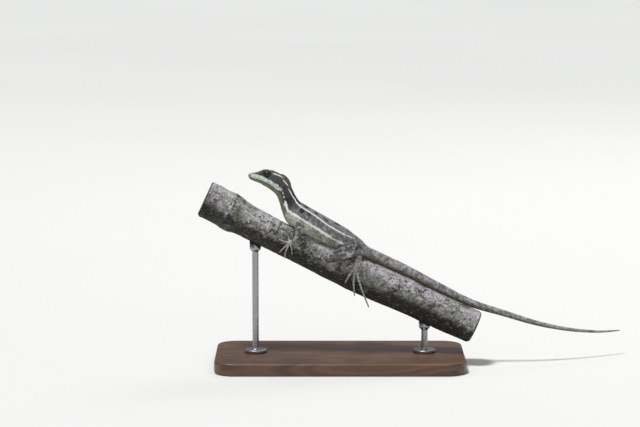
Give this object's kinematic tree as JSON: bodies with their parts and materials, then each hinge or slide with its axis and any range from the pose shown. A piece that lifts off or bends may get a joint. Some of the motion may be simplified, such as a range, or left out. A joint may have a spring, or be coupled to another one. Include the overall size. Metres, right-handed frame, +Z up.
{
  "type": "striped basilisk lizard model on a branch and display stand",
  "caption": "Still, life-size model of a striped basilisk lizard lying head up along a sloping cut branch, held over a flat base by two rods.",
  "frame": {"origin": "centre of the stand's underside, on the surface it stands on", "axes": "+Z up; +X level, from the head end towards the tail end, so the branch falls towards +X; -Y is the animal's left side"},
  "size_m": [0.3442, 0.1, 0.1585],
  "materials": {
    "skin": "dry scaly skin, grey-brown with cream stripes and dark blotches",
    "eye": "wet and glossy, dark brown",
    "bark": "rough grey bark with lichen",
    "stand_base": "satin oiled dark wood",
    "stand_rod": "satin brushed"
  },
  "bodies": {
    "root": {"perch_branch": "bark", "stand_base": "stand_base", "stand_rod_upper": "stand_rod", "stand_rod_lower": "stand_rod", "head": "skin", "eye_left": "eye", "eye_right": "eye", "neck": "skin", "torso": "skin", "tail_1": "skin", "tail_2": "skin", "tail_3": "skin", "tail_4": "skin", "tail_5": "skin", "upper_arm_left": "skin", "forearm_left": "skin", "hand_left": "skin", "thigh_left": "skin", "shin_left": "skin", "foot_left": "skin", "upper_arm_right": "skin", "forearm_right": "skin", "hand_right": "skin", "thigh_right": "skin", "shin_right": "skin", "foot_right": "skin"}
  },
  "joints": []
}
